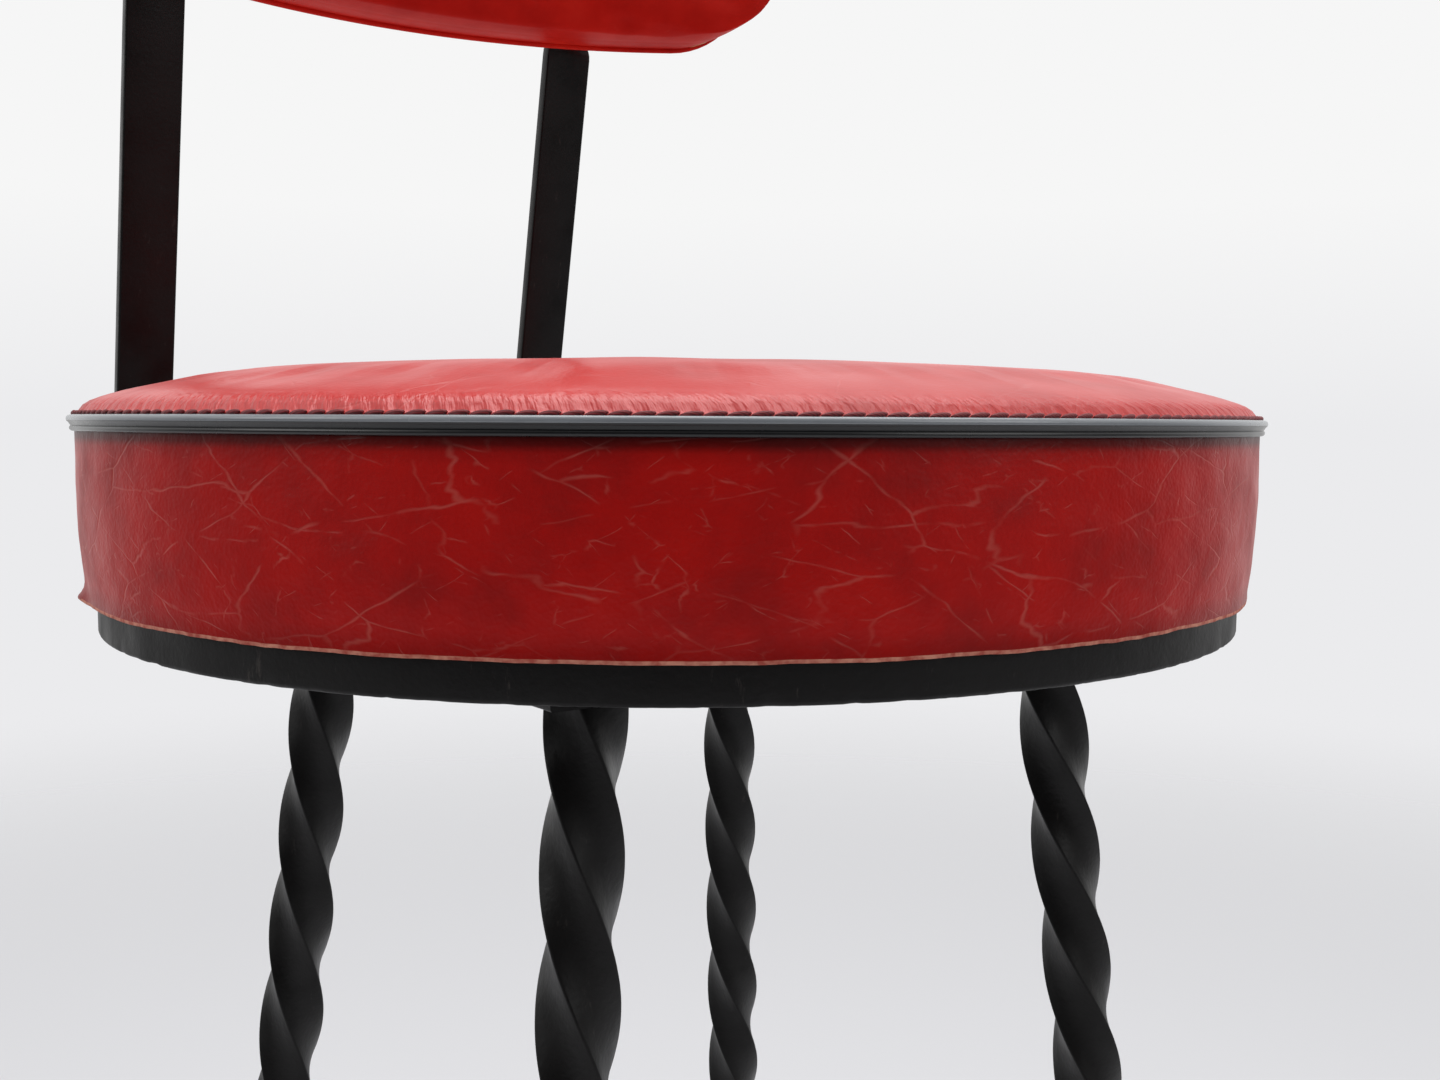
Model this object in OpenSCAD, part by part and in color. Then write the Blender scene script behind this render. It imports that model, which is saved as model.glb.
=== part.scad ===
// Bar stool: a round upholstered seat on four twisted square-bar legs,
// with a foot ring and a curved backrest carried by two bent flat bars.
// Millimetres, +Z up. The origin is on the floor under the centre of the seat.
// The sitter faces -Y, so the backrest is on the +Y side.

/* [Seat] */
// Height of the crown of the seat above the floor
seat_h = 760; // [630:5:915]
// Outer radius of the leather side band
seat_r = 185; // [154:1:222]
// Rise of the domed top above the trim line
crown_rise = 18.5; // [12:0.5:26]
// Depth of the side band below the trim line
band_depth = 51; // [44:1:62]
// How far the side band draws in towards its lower edge
band_draw_in = 3.4; // [1:0.1:6]
// Height of the black board edge that shows under the band
board_show = 10; // [6:1:16]
// Thickness of the plywood seat board
board_t = 18; // [15:1:21]
// Thickness of the upholstery leather
leather_t = 1.4; // [1:0.1:2]
// Height of the moulded trim round the seam
trim_h = 4.6; // [3.6:0.2:6]
// How far the trim stands out from the band
trim_out = 1.9; // [1.6:0.1:3]

/* [Legs] */
// Side of the square bar that the legs are twisted from
leg_bar = 16; // [12:1:20]
// Distance of each leg in from the board's edge, at the frame
leg_inset = 57; // [50:1:70]
// Outward lean of the legs, in degrees
leg_splay = 6.8; // [4:0.2:10]
// Length of bar in one full turn of the twist
twist_pitch = 150; // [110:5:200]
// Length of plain square bar left at the foot
plain_foot = 70; // [50:5:100]
// How far each leg's square was turned when it was welded on, in degrees
leg_turns = [59, 69, 40, 47];

/* [Foot ring and foot caps] */
// Height of the foot ring above the floor
ring_h = 280; // [230:5:330]
// Diameter of the foot ring's round bar
ring_bar = 16; // [12:1:20]
// Wall of the rubber foot caps
cap_wall = 3; // [2:0.5:5]
// Height of the rubber foot caps along the leg
cap_h = 38; // [28:1:46]
// Thickness of rubber under the end of each leg
cap_floor = 6; // [4:1:10]

/* [Backrest bars] */
// Width of the flat bar
bar_w = 24; // [18:1:30]
// Thickness of the flat bar
bar_t = 6; // [5:0.5:8]
// Distance of the centre of each bar's bend behind the board's edge
bend_reach = 52; // [40:1:70]
// Outer radius of the bend
bend_r = 50; // [42:1:60]
// Forward lean of the uprights, in degrees
bar_lean = 11.1; // [4:0.1:14]

/* [Backrest pad] */
// Height of the pad's lower edge above the trim line
pad_lift = 183; // [150:1:220]
// Height of the pad
pad_h = 125; // [100:1:160]
// Width of the pad, measured round its back
pad_w = 370; // [310:5:440]
// Radius of the curve of the pad's back
pad_r = 322; // [290:1:500]
// Total thickness of the pad
pad_t = 34; // [28:1:44]
// Backward lean of the pad, in degrees
pad_lean = 4.5; // [0:0.5:8]
// Radius of the pad's rounded corners
pad_corner = 32; // [20:1:50]
// Thickness of the bent plywood inside the pad
pad_board_t = 12; // [9:1:15]

/* [Fastenings] */
// Shank radius of the wood screws that hold the frame to the seat board
screw_r = 2.3; // [1.8:0.1:3]
// Length of those screws below the head
screw_l = 20; // [16:1:22]
// Radius of the screw heads
screw_head_r = 4.6; // [3.6:0.1:6]
// Shank radius of the bolts that hold the pad
bolt_r = 3; // [2.5:0.5:4]
// Heights of the two pad bolts on each bar, above the pad's lower edge
bolt_heights = [42, 88];
// Space left between upholstery layers
layer_gap = 0.2; // [0.1:0.05:0.5]
// Radial space between a bolt and a hole that it passes through
hole_gap = 0.4; // [0.2:0.1:0.8]

/* [Hidden] */

$fn = 96;

BLACK = "#1c1917";
RED = "#96201c";
PAD_RED = "#a0231c";
TRIM_GREY = "#5b5e63";
FOAM = "#e0cf9f";
PLY = "#b58e5c";
STEEL = "#8c8c8c";
RUBBER = "#161616";

// ---- seat: the trim line is the seam between the top cover and the band
trim_z = seat_h - crown_rise;
band_z = trim_z - band_depth;
board_z = band_z - board_show;
board_r = seat_r - band_draw_in - leather_t - layer_gap;
band_straight = 12;                          // part of the band that hangs straight
edge_step = 0.4;                             // step from the band's inner face to the dome
crown_r = seat_r - leather_t - edge_step;    // where the dome meets the seam
crown_edge = 1.85;                           // height of the dome's edge over the trim line
skin_stop = 3;                               // where the dome's underside ends, in from its edge
hem_in = 0.5;                                // how far the sewn hem stays inside the band
hem_drop = 0.1;                              // how far the hem lies below the dome's edge
foam_shoulder = 1;                           // how far below the trim line the foam's side starts
seam_r = 0.45;                               // radius of the seam's thread
seam_out = 0.25;                             // how far the thread lies outside the dome's edge
rim_steps = 14;                              // straight steps in each curved outline
trim_gap = 0.05;                             // space between the trim and the band
lip_in = 0.4;                                // how far the trim's lip stays behind its bead
trim_steps = 10;                             // straight steps in each round of the trim
through = 1;                                 // how far a cut runs past what it cuts

// ---- frame under the board: two bars and two straps in one layer
frame_z = board_z - bar_t;
leg_top_r = board_r - leg_inset;             // distance from the seat axis to a leg
leg_xy = leg_top_r / sqrt(2);                // the legs stand on the diagonals
bar_x = leg_xy + bar_w / 2;                  // each back bar's inner edge is over its legs
bar_overhang = 12;                           // how far a bar runs past the front strap
bar_front_y = -leg_xy - bar_w / 2 - bar_overhang;
strap_l = 2 * bar_x - bar_w;                 // the straps butt against the bars
bend_y = board_r + bend_reach;
bend_z = frame_z + bend_r;
bend_mid_r = bend_r - bar_t / 2;
bend_steps = 30;                             // flats that make up the bend
knee_bite = 3;                               // how far a knee runs into the bar at each end
merge = 0.06;                                // what a merged slice is smaller than its bar
slice_t = 0.2;                               // thickness of those slices

// ---- legs
leg_len = frame_z / cos(leg_splay);
over_cut = 20;                               // extra length, cut off level
level_h = 3 * over_cut;                      // height of the block that cuts it off
cap_r = leg_bar * sqrt(2) / 2 + cap_wall;
twist_len = leg_len - plain_foot;
slice_turn = 6;                              // degrees of twist in one slice
fuse = 0.3;                                  // depth to which the two parts of a leg merge

// ---- foot ring, inside the legs
leg_r_at_ring = leg_top_r + (frame_z - ring_h) * tan(leg_splay);
ring_r = leg_r_at_ring - (leg_bar / 2 + ring_bar / 2) / cos(leg_splay);
weld_r = 4;                                  // size of a weld bead
bead_in = 1;                                 // how deep a bead is set into its bar
bead_lift = ring_bar / 2 - 2 * bead_in;      // height of a bead over the middle of the ring

// ---- backrest pad, drawn in its own frame: Y is out of its back, Z up its height
pad_z = trim_z + pad_lift;
tab_r = pad_r + bar_t / 2;                   // radius of the middle of a bar's flat end
tab_turn = asin(bar_x / tab_r);              // how far each flat end faces inwards
tab_low = 26;                                // start of the flat end above the pad's edge
tab_high = 108;                              // end of the flat end above the pad's edge
knee_low = 3;                                // where a bar starts to turn and twist
pad_half_turn = pad_w / 2 / pad_r * 180 / PI;
corner_turn = 0.85 * pad_half_turn;          // turn of the pad's curve at its corners
corner_steps = 8;                            // straight steps in each corner
spare_turn = 6;                              // degrees that a layer is swept past its outline
welt_out = 1;                                // how far the welt stands out of the rear cover
front_r = pad_r - pad_t;
board_back_r = pad_r - leather_t - layer_gap;
board_front_r = board_back_r - pad_board_t;

// the upright meets the knee at this height, and the pad is set to suit
knee_z = pad_z + knee_low;
upright_l = (knee_z - bend_z - bend_mid_r * sin(bar_lean)) / cos(bar_lean);
knee_y = bend_y + bend_mid_r * cos(bar_lean) - upright_l * sin(bar_lean);
tab_y = tab_r * cos(tab_turn) - pad_r;       // middle of a flat end in the pad's frame
knee_reach = (tab_low - knee_low) * tan(bar_lean);
pad_y = knee_y - knee_reach - tab_y * cos(pad_lean) - tab_low * sin(pad_lean);

// ---- fastenings
head_t = 2.6;                                // height of a wood screw's head
bolt_head_r = 6;
bolt_head_t = 3.4;
bolt_dome_r = 1.6 * bolt_head_r;             // radius of the dome on a bolt's head
thread_bite = 0.3;                           // what a pilot hole is smaller than its screw
nut_r = 4;                                   // barrel of a tee nut
nut_flange_r = 9;
nut_flange_t = 1.2;
nut_l = 9;
nut_room = 3;                                // depth left free in the foam for a tee nut
nut_space = 1;                               // room left round its flange
bolt_l = bar_t + leather_t + 2 * layer_gap + nut_l;
screw_edge = 23;                             // rear screws' distance in from the board's edge
bar_screw_y = [-40, 40, sqrt(pow(board_r - screw_edge, 2) - pow(bar_x, 2))];
strap_screw_x = [-45, 45];

// ================= seat =================

// Outer radius of the side band at height z, which is 0 at the trim line
function band_out(z) =
    seat_r - band_draw_in * pow(max(0, -z - band_straight) / (band_depth - band_straight), 2);

// Height of the dome above the trim line at radius r
function dome(r) =
    crown_edge + (crown_rise - crown_edge) * pow(max(0, 1 - pow(r / crown_r, 2.5)), 1 / 2.67);

// Radii across the dome, closer together towards its edge
function dome_radii() = [for (i = [0:rim_steps]) crown_r * sin(90 * i / rim_steps)];

// Heights down the band, from top to bottom
function band_heights(top, bottom) =
    [for (i = [0:rim_steps]) top + (bottom - top) * i / rim_steps];

module seat_board() {
    color(BLACK)
    difference() {
        translate([0, 0, board_z]) cylinder(r = board_r, h = board_t);
        frame_screw_shanks(screw_r - thread_bite);
    }
}

module seat_foam() {
    top = leather_t + layer_gap;
    low = board_z + board_t - trim_z;
    inset = leather_t + layer_gap;
    dome_pts = [for (r = dome_radii()) if (r < crown_r - skin_stop) [r, dome(r) - top]];
    dome_foot = [crown_r - skin_stop - layer_gap, 0];
    side_pts = [for (z = band_heights(-foam_shoulder, low)) [band_out(z) - inset, z]];
    color(FOAM)
    translate([0, 0, trim_z])
    rotate_extrude() polygon(concat(dome_pts, [dome_foot], side_pts, [[0, low]]));
}

// Domed leather with a flat edge that is sewn down on the top of the band
module seat_top_cover() {
    hem_r = seat_r - hem_in;
    outer = [for (r = dome_radii()) [r, dome(r)]];
    inner = [for (i = [rim_steps:-1:0])
        let (r = dome_radii()[i]) if (r < crown_r - skin_stop) [r, dome(r) - leather_t]];
    hem = [[hem_r, crown_edge - hem_drop], [hem_r, layer_gap], [crown_r - skin_stop, layer_gap]];
    color(RED)
    translate([0, 0, trim_z])
    rotate_extrude() polygon(concat(outer, hem, inner));
}

module seat_side_band() {
    outer = [for (z = band_heights(0, -band_depth)) [band_out(z), z]];
    inner = [for (z = band_heights(-band_depth, 0)) [band_out(z) - leather_t, z]];
    color(RED)
    translate([0, 0, trim_z]) rotate_extrude() polygon(concat(outer, inner));
}

// Points along an arc from one angle to another
function arc_points(x, z, r, start, end, steps) =
    [for (i = [0:steps]) let (a = start + (end - start) * i / steps) [x + r * cos(a), z + r * sin(a)]];

// Moulded trim: a round bead over a smaller lip, with a flat back
module seat_trim() {
    bead_r = trim_h / 4;
    lip_r = trim_h / 5;
    back = seat_r + trim_gap;
    out = seat_r + trim_out;
    bead = arc_points(out - bead_r, trim_h / 2 - bead_r, bead_r, 90, -60, trim_steps);
    lip = arc_points(out - lip_in - lip_r, lip_r - trim_h / 2, lip_r, 60, -90, trim_steps);
    color(TRIM_GREY)
    translate([0, 0, trim_z])
    rotate_extrude()
    polygon(concat([[back, trim_h / 2]], bead, lip, [[back, -trim_h / 2]]));
}

module seam_thread() {
    color(BLACK)
    translate([0, 0, trim_z + crown_edge + seam_r])
    rotate_extrude() translate([crown_r + seam_out, 0]) circle(seam_r, $fn = 16);
}

// ================= frame =================

// One face of a bar in side view, at radius r of its bend: up from the board,
// round the bend, and forward along the upright
function bar_face(r) = concat(
    [[bar_front_y, bend_z - r]],
    [for (i = [0:bend_steps])
        let (a = -90 + (90 + bar_lean) * i / bend_steps)
        [bend_y + r * cos(a), bend_z + r * sin(a)]],
    [[
        bend_y + r * cos(bar_lean) - upright_l * sin(bar_lean),
        bend_z + r * sin(bar_lean) + upright_l * cos(bar_lean)
    ]]);

// A list back to front
function reversed(list) = [for (i = [len(list) - 1:-1:0]) list[i]];

module bar_side_view() {
    polygon(concat(bar_face(bend_r), reversed(bar_face(bend_r - bar_t))));
}

// Moves children into the pad's frame
module on_pad() {
    translate([0, pad_y, pad_z]) rotate([-pad_lean, 0, 0]) children();
}

// Moves children to the middle line of a flat end: Y is out of the pad's back
module on_tab(side) {
    on_pad()
    translate([0, -pad_r, 0]) rotate([0, 0, -side * tab_turn]) translate([0, tab_r, 0]) children();
}

// A thin slice across a bar, a hair smaller than the bar so that it merges cleanly
module bar_slice() {
    cube([bar_w - merge, bar_t - merge, slice_t], center = true);
}

// The twisted knee between an upright and its flat end, set into both
module knee(side) {
    hull() {
        translate([side * bar_x, knee_y, knee_z])
        rotate([bar_lean, 0, 0]) translate([0, 0, -knee_bite]) bar_slice();
        on_tab(side) translate([0, 0, tab_low + knee_bite]) bar_slice();
    }
}

module back_bar(side) {
    color(BLACK)
    difference() {
        union() {
            translate([side * bar_x - bar_w / 2, 0, 0])
            rotate([90, 0, 90]) linear_extrude(bar_w) bar_side_view();
            knee(side);
            on_tab(side)
            translate([-bar_w / 2, -bar_t / 2, tab_low]) cube([bar_w, bar_t, tab_high - tab_low]);
        }
        for (y = bar_screw_y) frame_hole(side * bar_x, y);
        for (z = bolt_heights) on_tab(side) bolt_hole(z);
    }
}

// Clearance hole for a wood screw, up through the frame
module frame_hole(x, y) {
    translate([x, y, frame_z - through])
    cylinder(r = screw_r + hole_gap, h = bar_t + 2 * through);
}

// Clearance hole for a pad bolt at height z, through a flat end
module bolt_hole(z) {
    translate([0, 0, z]) rotate([90, 0, 0])
    cylinder(r = bolt_r + hole_gap, h = bar_t + 2 * through, center = true);
}

module back_bar_left() { back_bar(-1); }
module back_bar_right() { back_bar(1); }

module cross_strap(y) {
    color(BLACK)
    difference() {
        translate([-strap_l / 2, y - bar_w / 2, frame_z]) cube([strap_l, bar_w, bar_t]);
        for (x = strap_screw_x) frame_hole(x, y);
    }
}

module front_cross_strap() { cross_strap(-leg_xy); }
module rear_cross_strap() { cross_strap(leg_xy); }

// ================= legs =================

// Moves children to leg i: Z is up the leg, and 0 is at the frame's underside
module on_leg(i) {
    rotate([0, 0, 45 + 90 * i])
    translate([leg_top_r, 0, frame_z])
    rotate([0, -leg_splay, 0]) children();
}

// Section of the square bar
module bar_section() {
    square(leg_bar, center = true);
}

// Block that stands on height z and cuts a leg off level
module level_block(z) {
    half = 2 * seat_r;
    translate([-half, -half, z]) cube([2 * half, 2 * half, level_h]);
}

// A leg: twisted all the way up from a plain square foot
module leg(i) {
    sole = cap_floor - leg_len;
    top_turn = leg_turns[i] + 360 / twist_pitch * twist_len;
    turned = 360 / twist_pitch * (twist_len + over_cut);
    color(BLACK)
    difference() {
        on_leg(i) {
            translate([0, 0, sole])
            rotate([0, 0, top_turn]) linear_extrude(plain_foot - cap_floor + fuse) bar_section();
            translate([0, 0, -twist_len])
            rotate([0, 0, top_turn])
            linear_extrude(
                twist_len + over_cut, twist = turned, slices = round(turned / slice_turn), $fn = 4)
            bar_section();
        }
        level_block(frame_z);
    }
}

module leg_rear_right() { leg(0); }
module leg_rear_left() { leg(1); }
module leg_front_left() { leg(2); }
module leg_front_right() { leg(3); }

// Weld beads where the legs meet the frame
module leg_welds() {
    color(BLACK)
    difference() {
        for (i = [0:3])
            rotate([0, 0, 45 + 90 * i]) translate([leg_top_r, 0, frame_z - weld_r])
            rotate_extrude() polygon([
                [leg_bar / 2 - bead_in, 0], [leg_bar / 2 + bead_in, 0],
                [leg_bar / 2 + weld_r, weld_r], [leg_bar / 2 - bead_in, weld_r]]);
        level_block(frame_z);
    }
}

// ================= foot ring and caps =================

module foot_ring() {
    color(BLACK)
    translate([0, 0, ring_h]) rotate_extrude($fn = 128) translate([ring_r, 0]) circle(ring_bar / 2);
}

// A weld bead over and under the ring at each leg
module foot_ring_welds() {
    bead_r = leg_r_at_ring - leg_bar / 2 - bead_in;
    color(BLACK)
    for (i = [0:3], up = [-1, 1])
        rotate([0, 0, 45 + 90 * i])
        translate([bead_r - up * bead_lift * tan(leg_splay), 0, ring_h + up * bead_lift])
        rotate([90, 0, 0]) {
            cylinder(r = weld_r, h = leg_bar - 2 * weld_r, center = true);
            for (end = [-1, 1]) translate([0, 0, end * (leg_bar / 2 - weld_r)]) sphere(weld_r);
        }
}

// Rubber boot round a leg's plain end, cut flat where it meets the floor
module foot_cap(i) {
    socket_turn = leg_turns[i] + 360 / twist_pitch * twist_len;
    color(RUBBER)
    difference() {
        on_leg(i)
        difference() {
            translate([0, 0, -leg_len - over_cut]) cylinder(r = cap_r, h = cap_h + over_cut);
            translate([0, 0, cap_floor - leg_len])
            rotate([0, 0, socket_turn]) linear_extrude(cap_h) bar_section();
        }
        level_block(-level_h);
    }
}

module foot_cap_rear_right() { foot_cap(0); }
module foot_cap_rear_left() { foot_cap(1); }
module foot_cap_front_left() { foot_cap(2); }
module foot_cap_front_right() { foot_cap(3); }

// ================= wood screws =================

// Places children at every screw between the frame and the board
module at_frame_screws() {
    for (side = [-1, 1], y = bar_screw_y) translate([side * bar_x, y, frame_z]) children();
    for (side = [-1, 1], x = strap_screw_x) translate([x, side * leg_xy, frame_z]) children();
}

module frame_screw_shanks(r) {
    at_frame_screws() cylinder(r = r, h = screw_l);
}

module frame_screws() {
    color(STEEL) {
        frame_screw_shanks(screw_r);
        at_frame_screws() translate([0, 0, -head_t]) cylinder(r = screw_head_r, h = head_t);
    }
}

// ================= backrest pad =================

// Outline of the pad seen from the front, drawn in by inset, with elliptical
// corners that come out round once the pad is curved
function pad_outline(inset) =
    let (
        half = pad_r * sin(pad_half_turn) - inset,
        rz = pad_corner - inset,
        rx = rz * cos(corner_turn)
    )
    [for (c = [[1, 0], [0, 1], [-1, 2], [-2, 3]], i = [0:corner_steps])
        let (
            a = 90 * c[1] - 90 + 90 * i / corner_steps,
            sx = (c[1] == 0 || c[1] == 1) ? 1 : -1,
            sz = (c[1] == 1 || c[1] == 2) ? 1 : -1
        )
        [sx * (half - rx) + rx * cos(a), pad_h / 2 + sz * (pad_h / 2 - inset - rz) + rz * sin(a)]];

// A curved layer of the pad between two radii, with its outline drawn in by inset
module pad_layer(r1, r2, inset) {
    turn = pad_half_turn + spare_turn;
    intersection() {
        translate([0, -pad_r, -through])
        rotate([0, 0, 90 - turn])
        rotate_extrude(angle = 2 * turn, $fn = 180)
        translate([r1, 0]) square([r2 - r1, pad_h + 2 * through]);
        translate([0, pad_t, 0]) rotate([90, 0, 0])
        linear_extrude(2 * pad_r) polygon(pad_outline(inset));
    }
}

// Places children at each pad bolt: Z points out of the pad's back
module at_pad_bolts() {
    for (side = [-1, 1], z = bolt_heights)
        on_tab(side) translate([0, bar_t / 2, z]) rotate([-90, 0, 0]) children();
}

module pad_bolt_shanks(r) {
    at_pad_bolts() translate([0, 0, -bolt_l]) cylinder(r = r, h = bolt_l);
}

module pad_board() {
    color(PLY)
    difference() {
        on_pad() pad_layer(board_front_r, board_back_r, leather_t + layer_gap);
        at_pad_bolts()
        translate([0, 0, -bar_t - pad_t]) cylinder(r = nut_r, h = pad_t + bar_t);
    }
}

module pad_foam() {
    color(FOAM)
    difference() {
        on_pad()
        pad_layer(front_r + leather_t + layer_gap, board_front_r - layer_gap, leather_t + layer_gap);
        tee_nut_space();
    }
}

// Room in the foam for the tee nuts' flanges
module tee_nut_space() {
    at_pad_bolts()
    translate([0, 0, -bar_t - leather_t - layer_gap - pad_board_t - nut_room])
    cylinder(r = nut_flange_r + nut_space, h = nut_room + through);
}

// Front leather: a tray over the foam, with sides that run back to the rear cover
module pad_front_cover() {
    color(PAD_RED)
    on_pad()
    difference() {
        pad_layer(front_r, board_back_r, 0);
        pad_layer(front_r + leather_t, pad_r, leather_t);
    }
}

module pad_rear_cover() {
    color(PAD_RED)
    difference() {
        on_pad() pad_layer(pad_r - leather_t, pad_r, leather_t + layer_gap);
        pad_bolt_shanks(bolt_r + hole_gap);
    }
}

// Piped edge where the rear cover meets the sides
module pad_welt() {
    color(PAD_RED)
    on_pad()
    difference() {
        pad_layer(board_back_r + layer_gap / 2, pad_r + welt_out, 0);
        pad_layer(board_back_r, pad_r + 2 * welt_out, leather_t + layer_gap / 2);
    }
}

module pad_bolts() {
    color(STEEL) {
        pad_bolt_shanks(bolt_r);
        at_pad_bolts()
        intersection() {
            cylinder(r = bolt_head_r, h = bolt_head_t);
            translate([0, 0, bolt_head_t - bolt_dome_r]) sphere(bolt_dome_r);
        }
    }
}

module pad_tee_nuts() {
    back = -bar_t - leather_t - layer_gap;
    color(STEEL)
    difference() {
        at_pad_bolts() {
            translate([0, 0, back - pad_board_t]) cylinder(r = nut_r, h = nut_l);
            translate([0, 0, back - pad_board_t - nut_flange_t])
            cylinder(r = nut_flange_r, h = nut_flange_t);
        }
        at_pad_bolts() translate([0, 0, -bar_t - pad_t]) cylinder(r = bolt_r, h = pad_t);
    }
}

seat_board();
seat_foam();
seat_top_cover();
seat_side_band();
seat_trim();
seam_thread();
back_bar_left();
back_bar_right();
front_cross_strap();
rear_cross_strap();
leg_rear_right();
leg_rear_left();
leg_front_left();
leg_front_right();
leg_welds();
foot_ring();
foot_ring_welds();
foot_cap_rear_right();
foot_cap_rear_left();
foot_cap_front_left();
foot_cap_front_right();
frame_screws();
pad_board();
pad_foam();
pad_front_cover();
pad_rear_cover();
pad_welt();
pad_bolts();
pad_tee_nuts();
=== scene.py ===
from math import asin, atan2, ceil, cos, degrees, exp, hypot, pi, radians, sin, sqrt

import bmesh
import bpy
from mathutils import Matrix, Vector, noise


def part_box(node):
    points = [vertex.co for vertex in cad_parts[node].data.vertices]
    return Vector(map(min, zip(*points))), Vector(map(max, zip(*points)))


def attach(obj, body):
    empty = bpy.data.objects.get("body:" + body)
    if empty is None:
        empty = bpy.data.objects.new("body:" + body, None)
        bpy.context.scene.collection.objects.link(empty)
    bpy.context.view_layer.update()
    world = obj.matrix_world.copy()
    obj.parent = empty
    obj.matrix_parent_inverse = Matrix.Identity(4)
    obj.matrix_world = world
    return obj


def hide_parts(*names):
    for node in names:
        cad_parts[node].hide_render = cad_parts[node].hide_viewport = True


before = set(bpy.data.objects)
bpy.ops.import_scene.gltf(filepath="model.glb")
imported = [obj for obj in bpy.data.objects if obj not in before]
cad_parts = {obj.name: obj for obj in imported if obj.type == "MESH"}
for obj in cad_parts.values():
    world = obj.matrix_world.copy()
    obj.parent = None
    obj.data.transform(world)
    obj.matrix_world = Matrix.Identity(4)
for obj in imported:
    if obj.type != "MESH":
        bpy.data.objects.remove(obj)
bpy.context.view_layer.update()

# ======================= camera, floor and light =======================
# The stool is seen from seat height, close in front of its left side, with the seat in the
# middle. It stands on a pale floor in a white studio lit by large soft boxes.

MM = 0.001
heading = radians(53.7)
pitch = radians(4.63)
roll = 0.0050
eye = Vector((-0.2782, -0.4048, 0.7425))

lens = bpy.data.cameras.new("camera")
lens.lens = 36.375
lens.sensor_width = 36
camera = bpy.data.objects.new("camera", lens)
camera.matrix_world = (
    Matrix.Translation(eye)
    @ Matrix.Rotation(heading - pi / 2, 4, "Z")
    @ Matrix.Rotation(pi / 2 - pitch, 4, "X")
    @ Matrix.Rotation(roll, 4, "Z")
)
bpy.context.scene.collection.objects.link(camera)
bpy.context.scene.camera = camera
bpy.context.scene.view_settings.view_transform = "Standard"


def linear(code):
    """An sRGB hex colour as linear RGBA."""
    parts = [int(code[i : i + 2], 16) / 255 for i in (1, 3, 5)]
    return [c / 12.92 if c <= 0.04045 else ((c + 0.055) / 1.055) ** 2.4 for c in parts] + [1]


def feed(owner, node, sources):
    """Links a node's sockets to (node, output) pairs."""
    for key, (source, out) in sources.items():
        owner.node_tree.links.new(source.outputs[out], node.inputs[key])


def add_node(owner, kind, settings, links=()):
    """Adds a node, sets its attributes and sockets, and links its sockets to (node, output)."""
    made = owner.node_tree.nodes.new("ShaderNode" + kind)
    for key, value in settings.items():
        if isinstance(key, int) or key in made.inputs:
            made.inputs[key].default_value = value
        else:
            setattr(made, key, value)
    feed(owner, made, dict(links))
    return made


def new_material(name, colour, roughness, sockets=()):
    """A material with a plain Principled shader, and that shader."""
    made = bpy.data.materials.new(name)
    made.use_nodes = True
    shader = made.node_tree.nodes["Principled BSDF"]
    shader.inputs["Base Color"].default_value = linear(colour)
    shader.inputs["Roughness"].default_value = roughness
    for key, value in dict(sockets).items():
        shader.inputs[key].default_value = value
    return made, shader


def set_stops(ramp, *stops):
    """Places and colours the two ends of a colour ramp, each given as (place, hex colour)."""
    for i, (place, colour) in enumerate(stops):
        ramp.color_ramp.elements[i].position = place
        ramp.color_ramp.elements[i].color = linear(colour)


def add_piece(name, bm, materials, smooth_angle=40):
    """Makes a bmesh into an object, smooth except where faces meet more sharply than the angle."""
    mesh = bpy.data.meshes.new(name)
    bm.to_mesh(mesh)
    bm.free()
    for finish in materials:
        mesh.materials.append(finish)
    mesh.shade_smooth()
    mesh.set_sharp_from_angle(angle=radians(smooth_angle))
    made = bpy.data.objects.new(name, mesh)
    bpy.context.scene.collection.objects.link(made)
    return made


dim_side = 0.09
bright_side = 1.0
overhead_share = 0.95
floor_radius = 3.6
floor_solid = 1.3
bm = bmesh.new()
bmesh.ops.create_circle(bm, cap_ends=True, segments=96, radius=floor_radius)
# Pale grey studio paint, matt, faded out towards the rim
floor_paint, floor_shader = new_material("pale_studio_floor", "#d2d2d5", 0.7)
place = add_node(floor_paint, "TexCoord", {})
reach = add_node(floor_paint, "VectorMath", {"operation": "LENGTH"}, {0: (place, "Object")})
fade = add_node(
    floor_paint, "MapRange",
    {"interpolation_type": "SMOOTHSTEP", 1: floor_solid, 2: floor_radius, 3: 1.0, 4: 0.0},
    {0: (reach, "Value")},
)
feed(floor_paint, floor_shader, {"Alpha": (fade, 0)})
studio_floor = add_piece("studio_floor", bm, [floor_paint])

world = bpy.data.worlds.new("white_studio")
world.use_nodes = True
bpy.context.scene.world = world
sky = world.node_tree.nodes["Background"]
direction = add_node(world, "TexCoord", {})
height = add_node(world, "SeparateXYZ", {}, {0: (direction, "Generated")})
backdrop = add_node(world, "ValToRGB", {}, {0: (height, "Z")})
set_stops(backdrop, (0.0, "#ebebed"), (0.14, "#f6f6f6"))
away = add_node(
    world, "VectorMath",
    {"operation": "DOT_PRODUCT", 1: (cos(heading), sin(heading), overhead_share)},
    {0: (direction, "Generated")},
)
wall_light = add_node(
    world, "MapRange",
    {"interpolation_type": "SMOOTHSTEP", 1: -0.35, 2: 0.75, 3: dim_side, 4: bright_side},
    {0: (away, "Value")},
)
seen = add_node(world, "LightPath", {})
shown = add_node(
    world, "Mix",
    {"data_type": "RGBA"},
    {0: (seen, "Is Camera Ray"), 6: (wall_light, 0), 7: (backdrop, 0)},
)
feed(world, sky, {"Color": (shown, 2)})


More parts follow.
